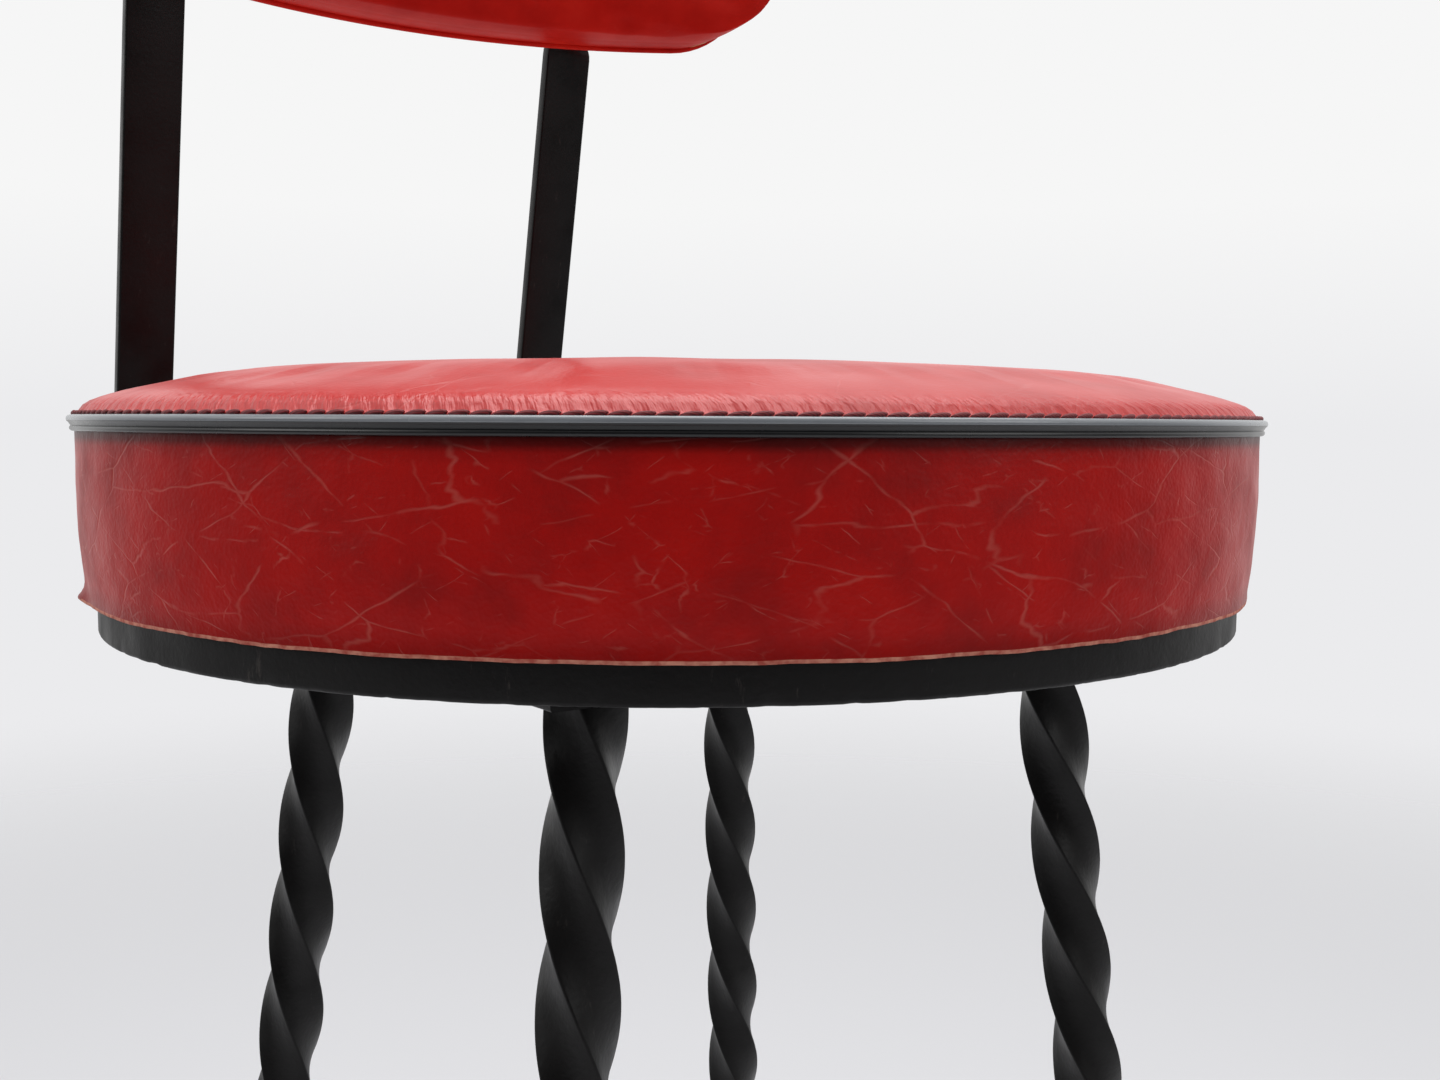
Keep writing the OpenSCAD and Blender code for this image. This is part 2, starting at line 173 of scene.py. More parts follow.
def soft_box(name, place, target, size, watts):
    """A square area light at a place, aimed at a target."""
    light = bpy.data.lights.new(name, "AREA")
    light.shape = "SQUARE"
    light.size = size
    light.energy = watts
    lamp = bpy.data.objects.new(name, light)
    aim = (Vector(target) - Vector(place)).to_track_quat("-Z", "Y")
    lamp.matrix_world = Matrix.Translation(place) @ aim.to_matrix().to_4x4()
    bpy.context.scene.collection.objects.link(lamp)


soft_box("soft_box_over", (0.3, 0.2, 2.6), (0, 0, 0.7), 1.8, 26)
soft_box("soft_box_left", (-2.0, 0.4, 1.6), (0, 0, 0.7), 1.2, 10)
soft_box("soft_box_right", (0.7, -2.0, 1.5), (0, 0, 0.7), 1.2, 9)

# ======================= seat board =======================
# A round plywood board under the upholstery, painted black after it was cut. Its bare edge
# shows below the leather band, and handling has chipped the lower corner.

board_low, board_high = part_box("seat_board")
board_r = board_high.x
board_corner = 1.2 * MM
board_lower_edge = 5 * MM
chip_height = 3 * MM
WEDGES = 8


def noisy(x, y, z, size):
    """Smooth noise between -1 and 1 with lumps of about the given size."""
    return noise.noise(Vector((x, y, z)) / size)


def turn_all(made, steps, angle, copies):
    """Spins everything in a bmesh round the Z axis, as a surface or as separate copies."""
    bmesh.ops.spin(
        made,
        geom=made.verts[:] + made.edges[:] + made.faces[:],
        axis=(0, 0, 1),
        cent=(0, 0, 0),
        steps=steps,
        angle=angle,
        use_duplicate=copies,
    )


def spun(profile, steps):
    """A bmesh made by turning a profile of (radius, height) points round the Z axis in wedges."""
    made = bmesh.new()
    points = [made.verts.new((r, 0, z)) for r, z in profile]
    for a, b in zip(points, points[1:]):
        made.edges.new((a, b))
    turn_all(made, steps // WEDGES, 2 * pi / WEDGES, False)
    turn_all(made, WEDGES - 1, 2 * pi * (WEDGES - 1) / WEDGES, True)
    bmesh.ops.remove_doubles(made, verts=made.verts, dist=1e-6)
    bmesh.ops.recalc_face_normals(made, faces=made.faces)
    return made


def arc(x, z, r, start, end, steps):
    """Points (x, z) along an arc, from one angle in degrees to another."""
    turns = [radians(start + (end - start) * i / steps) for i in range(steps + 1)]
    return [(x + r * cos(a), z + r * sin(a)) for a in turns]


def black_lacquer(name, gloss, grain, scuff):
    """Satin black lacquer: near black, a fine orange-peel surface and faint pale scuffs."""
    made, shader = new_material(name, "#080606", gloss, {"Specular IOR Level": 0.25})
    spot = add_node(made, "TexCoord", {})
    streaks = add_node(
        made, "Mapping", {"Scale": (1, 1, 0.25)}, {"Vector": (spot, "Object")}
    )
    scratch = add_node(
        made, "TexNoise", {"Scale": 1 / (4 * MM), "Detail": 6, "Roughness": 0.75}, {0: (streaks, 0)}
    )
    mark = add_node(made, "MapRange", {1: 0.62, 2: 0.74, 3: 0.0, 4: scuff}, {0: (scratch, 0)})
    tone = add_node(
        made, "Mix",
        {"data_type": "RGBA", 6: linear("#080606"), 7: linear("#4a4441")},
        {0: (mark, 0)},
    )
    patch = add_node(made, "TexNoise", {"Scale": 1 / (18 * MM), "Detail": 3}, {0: (spot, "Object")})
    shine = add_node(
        made, "MapRange", {1: 0.3, 2: 0.7, 3: gloss - 0.08, 4: gloss + 0.1}, {0: (patch, 0)}
    )
    peel = add_node(made, "TexNoise", {"Scale": 1 / (1.6 * MM), "Detail": 2}, {0: (spot, "Object")})
    bump = add_node(made, "Bump", {"Strength": grain, "Distance": 0.2 * MM}, {"Height": (peel, 0)})
    feed(made, shader, {"Base Color": (tone, 2), "Roughness": (shine, 0), "Normal": (bump, 0)})
    return made


# Brushed black paint on plywood: less gloss than the ironwork, with chips that show grey
board_paint = black_lacquer("brushed_black_board_paint", 0.5, 0.5, 0.5)

profile = (
    [(0, board_low.z)]
    + arc(board_r - board_corner, board_low.z + board_corner, board_corner, -90, 0, 4)
    + [(board_r, board_low.z + board_lower_edge), (board_r, board_high.z), (0, board_high.z)]
)
bm = spun(profile, 720)
for v in bm.verts:
    low = max(0, 1 - (v.co.z - board_low.z) / chip_height)
    if v.co.xy.length > board_r - 2 * board_corner:
        chip = min(0, noisy(*v.co.xy, 0, 6 * MM) + 0.1) + 0.35 * noisy(*v.co.xy, 1, 2.2 * MM)
        v.co.z += 0.35 * MM * low * max(0, -chip)
        v.co.xy *= 1 - 0.5 * MM * low * max(0, -chip) / board_r
seat_board = add_piece("painted_seat_board", bm, [board_paint])
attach(seat_board, "root")
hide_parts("seat_board")

# ======================= seat top cover =======================
# A disc of red leather drawn over domed foam and sewn down round its edge. The stitches pull
# the leather into small slanting tucks, and sitting has stretched and polished it.

trim_low, trim_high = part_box("seat_trim")
cover_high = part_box("seat_top_cover")[1]
band_low, band_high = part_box("seat_side_band")
trim_z = (trim_low.z + trim_high.z) / 2
seat_r = band_high.x
crown_rise = cover_high.z - trim_z
dome_r = seat_r - 1.8 * MM
dome_foot = 2.75 * MM
stitch_count = 232
tuck_reach = 6.5 * MM
tuck_depth = 0.8 * MM
rim_spread = 1.4 * MM
spread_reach = 5 * MM
cover_t = 1.2 * MM


def dome(r):
    """Height of the dome above the trim line."""
    return dome_foot + (crown_rise - dome_foot) * max(0, 1 - (r / dome_r) ** 2.5) ** (1 / 2.67)


def evaluated(piece):
    """A piece's mesh as its modifiers leave it."""
    graph = bpy.context.evaluated_depsgraph_get()
    return bpy.data.meshes.new_from_object(piece.evaluated_get(graph))


def settle(piece):
    """Makes a piece's modifiers part of its mesh."""
    done = evaluated(piece)
    piece.modifiers.clear()
    piece.data = done


def inflate(piece, pinned, pressure, cap):
    """Blows a cover up as cloth held at the pinned points, and caps how far a point may move."""
    held = piece.vertex_groups.new(name="held")
    held.add([v.index for v in piece.data.vertices if pinned(v.co)], 1.0, "REPLACE")
    cloth = piece.modifiers.new("Cloth", "CLOTH")
    cloth.settings.quality = 6
    cloth.settings.mass = 0.4
    cloth.settings.tension_stiffness = 22
    cloth.settings.compression_stiffness = 22
    cloth.settings.shear_stiffness = 12
    cloth.settings.bending_stiffness = 2
    cloth.settings.vertex_group_mass = "held"
    cloth.settings.use_pressure = True
    cloth.settings.uniform_pressure_force = pressure
    cloth.settings.effector_weights.gravity = 0
    cloth.collision_settings.use_collision = False
    scene = bpy.context.scene
    for step in range(1, 21):
        scene.frame_set(step)
    start = [v.co.copy() for v in piece.data.vertices]
    moved = [v.co.copy() for v in evaluated(piece).vertices]
    piece.modifiers.clear()
    scene.frame_set(1)
    for v, a, b in zip(piece.data.vertices, start, moved):
        shift = b - a
        if shift.length > cap:
            shift *= cap / shift.length
        v.co = a + shift
    piece.vertex_groups.clear()


def leather(name, dark, mid, light, crease_wear_and_highlight_colour, coordinates, sizes, worn):
    """Waxed leather: mottled dye, long and fine pale creases that are partly worn finish and partly
    painted highlight, pores, and a satin wax finish.
    """
    made, shader = new_material(name, mid, worn["roughness"], {"Specular IOR Level": worn["shine"]})
    if coordinates == "Object":
        spot = add_node(made, "TexCoord", {})
        source = (spot, "Object")
        across = "3D"
    else:
        spot = add_node(made, "UVMap", {"uv_map": coordinates})
        source = (spot, "UV")
        across = "2D"
    blots = add_node(
        made, "TexNoise", {"Scale": 1 / sizes["blot"], "Detail": 4, "Roughness": 0.6}, {0: source}
    )
    dye = add_node(made, "ValToRGB", {}, {0: (blots, 0)})
    set_stops(dye, (0.3, dark), (0.72, light))
    middle = dye.color_ramp.elements.new(0.5)
    middle.color = linear(mid)

    def crease_lines(size, width, turn, cover):
        """Thin pale strokes, long in one direction and broken up by a mask."""
        laid = add_node(
            made, "Mapping",
            {
                "vector_type": "TEXTURE",
                "Location": (turn, 2 * turn, 3 * turn),
                "Rotation": (0, 0, turn),
                "Scale": (sizes["stretch"], 1, 1),
            },
            {"Vector": source},
        )
        drift = add_node(
            made, "TexNoise",
            {"noise_dimensions": across, "Scale": 1.6 / size, "Detail": 3},
            {"Vector": (laid, 0)},
        )
        centred = add_node(
            made, "VectorMath", {"operation": "SUBTRACT", 1: (0.5, 0.5, 0.5)}, {0: (drift, 1)}
        )
        amount = add_node(
            made, "VectorMath", {"operation": "SCALE", "Scale": 0.3 * size}, {0: (centred, 0)}
        )
        bent = add_node(made, "VectorMath", {"operation": "ADD"}, {0: (laid, 0), 1: (amount, 0)})
        cells = add_node(
            made, "TexVoronoi",
            {"feature": "DISTANCE_TO_EDGE", "voronoi_dimensions": across, "Scale": 1 / size},
            {"Vector": (bent, 0)},
        )
        line = add_node(
            made, "MapRange",
            {"interpolation_type": "SMOOTHSTEP", 1: 0.0, 2: width / size, 3: 1.0, 4: 0.0},
            {0: (cells, 0)},
        )
        area = add_node(
            made, "TexNoise",
            {"noise_dimensions": across, "Scale": 1.3 / size, "Detail": 2},
            {"Vector": source},
        )
        shown = add_node(
            made, "MapRange", {1: 0.97 - cover, 2: 1.2 - cover, 3: 0.0, 4: 1.0}, {0: (area, 0)}
        )
        return add_node(made, "Math", {"operation": "MULTIPLY"}, {0: (line, 0), 1: (shown, 0)})

    lines = crease_lines(*worn["creases"][0])
    for size, width, turn, cover in worn["creases"][1:]:
        more = crease_lines(size, width, turn, cover)
        lines = add_node(made, "Math", {"operation": "MAXIMUM"}, {0: (lines, 0), 1: (more, 0)})
    # The pale tint along the creases is partly worn finish and partly painted highlight
    pale = add_node(
        made, "Math", {"operation": "MULTIPLY", 1: worn["pale_crease_wear_and_highlight"]}, {0: (lines, 0)}
    )
    tint = add_node(
        made, "Mix", {"data_type": "RGBA", 7: linear(crease_wear_and_highlight_colour)}, {0: (pale, 0), 6: (dye, 0)}
    )
    pores = add_node(
        made, "TexVoronoi",
        {"feature": "F1", "Scale": 1 / sizes["pore"], "Randomness": 1.0},
        {"Vector": source},
    )
    deep = add_node(made, "Math", {"operation": "MULTIPLY", 1: -2.2}, {0: (lines, 0)})
    folds = add_node(made, "TexNoise", {"Scale": 1 / (9 * MM), "Detail": 3}, {0: source})
    lying = add_node(
        made, "Math", {"operation": "MULTIPLY_ADD", 1: worn["folds"]}, {0: (folds, 0), 2: (deep, 0)}
    )
    relief = add_node(made, "Math", {"operation": "ADD"}, {0: (pores, 0), 1: (lying, 0)})
    bump = add_node(
        made, "Bump", {"Strength": worn["relief"], "Distance": 0.25 * MM}, {"Height": (relief, 0)}
    )
    gloss = add_node(
        made, "MapRange",
        {1: 0.3, 2: 0.7, 3: worn["roughness"] + 0.07, 4: worn["roughness"] - 0.07},
        {0: (blots, 0)},
    )
    # Painted shade: a height ramp darkens the colour, very dark just under the trim as a painted
    # shadow, and darker towards the lower edge
    if "painted_shade" in worn:
        split = add_node(made, "SeparateXYZ", {}, {0: source})
        bottom, top = worn["painted_shade"]
        height = add_node(
            made, "MapRange", {1: bottom, 2: top, 3: 0.0, 4: 1.0}, {0: (split, 1)}
        )
        painted_shade = add_node(made, "ValToRGB", {}, {0: (height, 0)})
        painted_shade.color_ramp.elements[0].color = (0.62, 0.62, 0.62, 1)
        painted_shade.color_ramp.elements[1].color = (0.1, 0.1, 0.1, 1)
        for place, shade in ((0.14, 1.0), (0.86, 1.0), (0.92, 0.8), (0.955, 0.28)):
            painted_shade.color_ramp.elements.new(place).color = (shade, shade, shade, 1)
        tint = add_node(
            made, "Mix",
            {"data_type": "RGBA", "blend_type": "MULTIPLY", 0: 1.0},
            {6: (tint, 2), 7: (painted_shade, 0)},
        )
    feed(made, shader, {"Base Color": (tint, 2), "Roughness": (gloss, 0), "Normal": (bump, 0)})
    return made


# Red leather polished by sitting: bright, glossy, with few and faint creases
crown_leather = leather(
    "polished_red_seat_leather",
    "#aa1c19",
    "#bf2320",
    "#ca2d29",
    "#d08078",
    "Object",
    {"blot": 60 * MM, "stretch": 2.5, "pore": 1.3 * MM},
    {
        "roughness": 0.36,
        "shine": 0.5,
        "creases": [(30 * MM, 0.5 * MM, 0.5, 0.48), (14 * MM, 0.4 * MM, 2.0, 0.45)],
        "pale_crease_wear_and_highlight": 0.14,
        "relief": 0.16,
        "folds": 3,
    },
)

# fine slanting puckers close to the stitches: too small for the mesh, so they are in the relief
pucker_spot = add_node(crown_leather, "UVMap", {"uv_map": "rim"})
pucker_lean = add_node(
    crown_leather, "Mapping",
    {"vector_type": "TEXTURE", "Rotation": (0, 0, radians(-58)), "Scale": (3.5, 1, 1)},
    {"Vector": (pucker_spot, "UV")},
)
puckers = add_node(
    crown_leather, "TexNoise",
    {"noise_dimensions": "2D", "Scale": 1 / (1.5 * MM), "Detail": 2},
    {"Vector": (pucker_lean, 0)},
)
pucker_split = add_node(crown_leather, "SeparateXYZ", {}, {0: (pucker_spot, "UV")})
near_rim = add_node(
    crown_leather, "MapRange",
    {"interpolation_type": "SMOOTHSTEP", 1: 2.5 * MM, 2: 8 * MM, 3: 1.0, 4: 0.0},
    {0: (pucker_split, 1)},
)
pucker_height = add_node(
    crown_leather, "Math", {"operation": "MULTIPLY"}, {0: (puckers, 0), 1: (near_rim, 0)}
)
skin_bump = [n for n in crown_leather.node_tree.nodes if n.bl_idname == "ShaderNodeBump"][0]
pucker_bump = add_node(
    crown_leather, "Bump", {"Strength": 0.9, "Distance": 0.7 * MM}, {"Height": (pucker_height, 0)}
)
feed(crown_leather, skin_bump, {"Normal": (pucker_bump, 0)})

# the blown-up form: a closed dome, a little lower than the finished one
low_share = 0.985
form_steps = 36
form_radii = [dome_r * sin(radians(90 * i / form_steps)) for i in range(form_steps + 1)]
form_profile = [(r, trim_z + dome(r) * low_share) for r in form_radii] + [(0, trim_z)]
form = add_piece("crown_form", spun(form_profile, 180), [])
inflate(form, lambda p: p.z < trim_z + dome_foot * 1.3, 4, 1.2 * MM)

# the cover itself has six points to a stitch, and takes its height from the blown-up form
cover_rings = 32
rim_radii = [dome_r * sin(radians(90 * i / cover_rings)) for i in range(cover_rings + 1)]
edge_profile = [(r, trim_z + crown_rise * 2) for r in rim_radii]
cover = add_piece("top_cover", spun(edge_profile, stitch_count * 6), [crown_leather])
wrap = cover.modifiers.new("wrap", "SHRINKWRAP")
wrap.target = form
wrap.wrap_method = "PROJECT"
wrap.use_project_z = True
wrap.use_positive_direction = False
wrap.use_negative_direction = True
settle(cover)
bpy.data.objects.remove(form)
for v in cover.data.vertices:
    r = v.co.xy.length
    turn = atan2(v.co.y, v.co.x)
    if v.co.z > trim_z + crown_rise * 1.5 or r > dome_r - 0.1 * MM:
        v.co.z = trim_z + dome(min(r, dome_r))
    inward = dome_r - r
    slant = turn + 1.1 * inward / dome_r
    phase = slant * stitch_count
    pull = 0.75 + 0.5 * noisy(cos(turn), sin(turn), 0, 0.05)
    fall = exp(-((inward / (tuck_reach * 0.55)) ** 2))
    tuck = 0.5 - 0.5 * cos(phase)
    fine = noisy(cos(slant) * 60, sin(slant) * 60, inward / (6 * MM), 1.0)
    v.co.z += -tuck_depth * pull * fall * (tuck + 0.5 * fine)
    v.co.xy *= 1 + rim_spread * exp(-((inward / spread_reach) ** 2)) / max(r, MM)
    v.co.z += 0.35 * MM * noisy(v.co.x, v.co.y, 0, 34 * MM) * min(1, inward / (20 * MM))

# the hem goes over the edge and down behind the trim
bm = bmesh.new()
bm.from_mesh(cover.data)
rim = [e for e in bm.edges if e.is_boundary]
hem_steps = ((0.3 * MM, 0.9 * MM), (0.2 * MM, 1.6 * MM))
for out, down in hem_steps:
    grown = bmesh.ops.extrude_edge_only(bm, edges=rim)["geom"]
    rim = [g for g in grown if isinstance(g, bmesh.types.BMEdge)]
    for v in {v for e in rim for v in e.verts}:
        v.co.xy *= 1 + out / v.co.xy.length
        v.co.z -= down
rim_map = bm.loops.layers.uv.new("rim")
for f in bm.faces:
    turns = [atan2(v.co.y, v.co.x) for v in f.verts]
    if max(turns) - min(turns) > pi:
        turns = [t + 2 * pi if t < 0 else t for t in turns]
    for loop, turn in zip(f.loops, turns):
        loop[rim_map].uv = (turn * dome_r, dome_r + rim_spread - loop.vert.co.xy.length)
bmesh.ops.recalc_face_normals(bm, faces=bm.faces)
if sum(f.normal.z for f in bm.faces) < 0:
    bmesh.ops.reverse_faces(bm, faces=bm.faces)
bm.to_mesh(cover.data)
bm.free()
thick = cover.modifiers.new("thickness", "SOLIDIFY")
thick.thickness = cover_t
thick.offset = -1
cover.name = "sewn_top_cover"
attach(cover, "root")
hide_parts("seat_top_cover", "seat_foam")

# ======================= seam thread =======================
# A line of thick dark thread all round the edge of the top cover. Each stitch is a short
# length that lies on the leather and dives in at both ends.

# Waxed linen thread: dark, dull, with a twisted surface
thread, thread_shader = new_material("waxed_dark_thread", "#2a0c0c", 0.6)
spot = add_node(thread, "TexCoord", {})
twist = add_node(
    thread, "TexWave",
    {"wave_type": "BANDS", "bands_direction": "DIAGONAL", "Scale": 1 / (1.2 * MM), "Distortion": 1},
    {"Vector": (spot, "Object")},
)
dyed = add_node(thread, "ValToRGB", {}, {0: (twist, 0)})
set_stops(dyed, (0.0, "#560d14"), (1.0, "#871a22"))
ply = add_node(thread, "Bump", {"Strength": 0.4, "Distance": 0.1 * MM}, {"Height": (twist, 0)})
feed(thread, thread_shader, {"Base Color": (dyed, 0), "Normal": (ply, 0)})

stitch_half = 2.6 * MM
stitch_fat = 0.75 * MM
stitch_r = dome_r + rim_spread + 0.25 * MM
stitch_z = trim_z + dome_foot - 0.1 * MM
bm = bmesh.new()
shape = (
    Matrix.Rotation(pi / stitch_count, 4, "Z")
    @ Matrix.Translation((stitch_r, 0, stitch_z))
    @ Matrix.Rotation(radians(7), 4, "X")
    @ Matrix.Diagonal((stitch_fat, stitch_half, stitch_fat, 1))
)
bmesh.ops.create_uvsphere(bm, u_segments=8, v_segments=6, radius=1, matrix=shape)
turn_all(bm, stitch_count - 1, 2 * pi * (stitch_count - 1) / stitch_count, True)
for v in bm.verts:
    v.co.z += 0.12 * MM * noisy(v.co.x, v.co.y, 0, 7 * MM)
stitches = add_piece("seam_stitches", bm, [thread], 180)
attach(stitches, "root")
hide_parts("seam_thread")

# ======================= seat side band =======================
# A long strip of the same leather drawn round the foam and board, joined at the back. It is
# creased all over, and its lower edge was cut by hand and left raw.

band_depth = band_high.z - band_low.z
band_straight = 12 * MM
band_draw_in = 2.6 * MM
leather_t = 1.4 * MM
raw_edge_wave = 0.5 * MM
flap_turn = radians(169)
flap_width = radians(2.6)
flap_lift = 2.6 * MM
flap_drop = 1.2 * MM
edge_reach = 2.2 * MM
flap_reach = 3.5 * MM
wave_reach = 8 * MM

# The same leather where it is drawn down: deeper red, creased all over, with painted shade at both
# edges, darkest as a painted shadow under the trim
band_leather = leather(
    "creased_red_band_leather",
    "#980f0d",
    "#ac110e",
    "#b81611",
    "#cf7468",
    "skin",
    {"blot": 24 * MM, "stretch": 3, "pore": 1.1 * MM},
    {
        "roughness": 0.4,
        "shine": 0.14,
        "creases": [
            (18 * MM, 0.4 * MM, 0.3, 0.56),
            (16 * MM, 0.36 * MM, -0.35, 0.54),
            (8 * MM, 0.24 * MM, -0.6, 0.42),
            (7 * MM, 0.22 * MM, 0.5, 0.4),
        ],
        "pale_crease_wear_and_highlight": 0.27,
        "relief": 0.24,
        "folds": 7,
        "painted_shade": (band_low.z, trim_low.z + 0.5 * MM),
    },
)

# Raw cut edge: undyed fibres, pinkish buff and quite matt
raw_edge, raw_shader = new_material("raw_leather_edge", "#b8705c", 0.85)
spot = add_node(raw_edge, "TexCoord", {})
fibres = add_node(
    raw_edge, "TexNoise", {"Scale": 1 / (2.5 * MM), "Detail": 5}, {0: (spot, "Object")}
)
buff = add_node(raw_edge, "ValToRGB", {}, {0: (fibres, 0)})
set_stops(buff, (0.35, "#a8483a"), (0.65, "#cf8a74"))
feed(raw_edge, raw_shader, {"Base Color": (buff, 0)})

band_rows = 34
band_steps = 720
raw_h = 0.9 * MM
heights = [-(band_depth - raw_h) * i / band_rows for i in range(band_rows + 1)]
heights += [-band_depth + raw_h / 2, -band_depth]
bm = spun([(seat_r, trim_z + z) for z in heights], band_steps)
skin = bm.loops.layers.uv.new("skin")
for f in bm.faces:
    turns = [atan2(-v.co.x, v.co.y) % (2 * pi) for v in f.verts]
    if max(turns) - min(turns) > pi:
        turns = [t + 2 * pi if t < pi else t for t in turns]
    for loop, turn in zip(f.loops, turns):
        loop[skin].uv = (turn * seat_r, loop.vert.co.z)
for v in bm.verts:
    drop = (trim_z - v.co.z) / band_depth
    turn = atan2(v.co.y, v.co.x)
    draw = max(0, drop * band_depth - band_straight) / (band_depth - band_straight)
    x, y = cos(turn) * seat_r, sin(turn) * seat_r
    ripple = noisy(x, y, v.co.z * 1.6, 30 * MM) + 0.5 * noisy(x, y, v.co.z * 2, 13 * MM)
    swell = 0.35 * MM * ripple * sin(pi * min(1, drop * 1.08))
    edge = exp(-(((1 - drop) * band_depth / edge_reach) ** 2))
    flare = edge * (0.5 * MM + 0.35 * MM * noisy(x, y, 0, 17 * MM))
    flap = exp(-(((turn - flap_turn) / flap_width) ** 2))
    flare += flap * flap_lift * exp(-(((1 - drop) * band_depth / flap_reach) ** 2))
    wave = noisy(x, y, 3, 21 * MM) + 0.4 * noisy(x, y, 3, 5 * MM)
    r = seat_r - band_draw_in * draw**2.8 + swell + flare - 0.25 * MM
    v.co.x, v.co.y = r * cos(turn), r * sin(turn)
    waviness = raw_edge_wave * wave * exp(-(1 - drop) * band_depth / wave_reach)
    v.co.z += waviness + flap * edge * flap_drop
if sum(f.normal.xy @ f.calc_center_median().xy for f in bm.faces) < 0:
    bmesh.ops.reverse_faces(bm, faces=bm.faces)
for f in bm.faces:
    if min(v.co.z for v in f.verts) < trim_z - band_depth + raw_edge_wave * 2:
        drops = sorted(trim_z - v.co.z for v in f.verts)
        if drops[-1] - drops[0] < raw_h:
            f.material_index = 1
band = add_piece("creased_side_band", bm, [band_leather, raw_edge])
thick = band.modifiers.new("thickness", "SOLIDIFY")
thick.thickness = leather_t
thick.offset = -1
thick.material_offset_rim = 1
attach(band, "root")
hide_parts("seat_side_band")

# ======================= seat trim =======================
# A strip of moulded grey vinyl nailed round the seam: a fat bead on top, a groove, and a
# thinner lip below. The lip gets a black copy of the vinyl as painted shade.

# Moulded vinyl: mid grey, smooth and glossy, a little dusty
vinyl, vinyl_shader = new_material(
    "glossy_grey_vinyl", "#7d8186", 0.24, {"Specular IOR Level": 0.8}
)
spot = add_node(vinyl, "TexCoord", {})
dust = add_node(vinyl, "TexNoise", {"Scale": 1 / (45 * MM), "Detail": 2}, {0: (spot, "Object")})
greys = add_node(vinyl, "ValToRGB", {}, {0: (dust, 0)})
set_stops(greys, (0.35, "#74787d"), (0.7, "#85898e"))
smear = add_node(vinyl, "MapRange", {1: 0.3, 2: 0.7, 3: 0.2, 4: 0.28}, {0: (dust, 0)})
feed(vinyl, vinyl_shader, {"Base Color": (greys, 0), "Roughness": (smear, 0)})

# The lower lip of the same strip: a black copy of the grey vinyl, as painted shade
lip_vinyl_painted_shade, lip_painted_shade_shader = new_material("glossy_vinyl_lip_painted_shade", "#0e0f12", 0.26)
spot = add_node(lip_vinyl_painted_shade, "TexCoord", {})
dust = add_node(
    lip_vinyl_painted_shade, "TexNoise", {"Scale": 1 / (45 * MM), "Detail": 2}, {0: (spot, "Object")}
)
smear = add_node(lip_vinyl_painted_shade, "MapRange", {1: 0.3, 2: 0.7, 3: 0.22, 4: 0.32}, {0: (dust, 0)})
feed(lip_vinyl_painted_shade, lip_painted_shade_shader, {"Roughness": (smear, 0)})

bead_r = 1.15 * MM
lip_r = 0.85 * MM
bead_x = trim_high.x - bead_r
lip_set_in = 0.8 * MM
lip_x = trim_high.x - lip_set_in - lip_r
trim_back = seat_r - 0.3 * MM
profile = (
    [(trim_back, trim_high.z - 0.1 * MM)]
    + arc(bead_x, trim_high.z - bead_r, bead_r, 100, -62, 12)
    + arc(lip_x, trim_low.z + lip_r, lip_r, 55, -95, 9)
    + [(trim_back, trim_low.z + 0.1 * MM), (trim_back, trim_high.z - 0.1 * MM)]
)
bm = spun(profile, 720)
# Faces below the bead take the black copy of the vinyl: painted shade on the lower lip
for f in bm.faces:
    f.material_index = f.calc_center_median().z < trim_high.z - 1.3 * bead_r
trim = add_piece("moulded_trim", bm, [vinyl, lip_vinyl_painted_shade], 60)
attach(trim, "root")
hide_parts("seat_trim")

# ======================= back bars =======================
# Two flat iron bars that run under the seat board, bend up behind it, lean forward and end
# in flat faces that the pad is bolted to. Bent hot, then lacquered satin black.

right_low, right_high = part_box("back_bar_right")
bar_w = 24 * MM
bar_t = 6 * MM
bar_edge = 0.9 * MM
frame_z = right_low.z
bend_r = 50 * MM
bar_lean = radians(11.1)
bend_y = board_r + 52 * MM
bend_z = frame_z + bend_r
bend_mid_r = bend_r - bar_t / 2
pad_r = 322 * MM
pad_h = 125 * MM
pad_lean = radians(4.5)
pad_inset = 1.6 * MM
pad_back_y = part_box("pad_rear_cover")[1].y - (pad_h - pad_inset) * sin(pad_lean)
pad_z = trim_z + 183 * MM
pad_place = Matrix.Translation((0, pad_back_y, pad_z)) @ Matrix.Rotation(-pad_lean, 4, "X")
tab_r = pad_r + bar_t / 2
bar_x = right_high.x - bar_w / 2
tab_turn = asin(bar_x / tab_r)
tab_low = 30 * MM
tab_high = 108 * MM
knee_z = pad_z + 3 * MM
upright_l = (knee_z - bend_z - bend_mid_r * sin(bar_lean)) / cos(bar_lean)


def tab_place(side, up):
    """The middle of a bar's flat end at a height above the pad's lower edge: Y is outwards."""
    return (
        pad_place
        @ Matrix.Translation((0, -pad_r, 0))
        @ Matrix.Rotation(-side * tab_turn, 4, "Z")
        @ Matrix.Translation((0, tab_r, up))
    )


def rounded_section(width, thickness, edge, cuts):
    """A bmesh holding one rectangular face in XY with rounded corners, cut along its sides."""
    made = bmesh.new()
    bmesh.ops.create_grid(made, x_segments=1, y_segments=1, size=0.5)
    bmesh.ops.scale(made, vec=(width, thickness, 1), verts=made.verts)
    bmesh.ops.bevel(
        made,
        geom=made.verts[:],
        offset=edge,
        segments=3,
        profile=0.5,
        affect="VERTICES",
        material=-1,
    )
    if cuts:
        long = [e for e in made.edges if e.calc_length() > 3 * edge]
        bmesh.ops.subdivide_edges(made, edges=long, cuts=cuts)
    return made


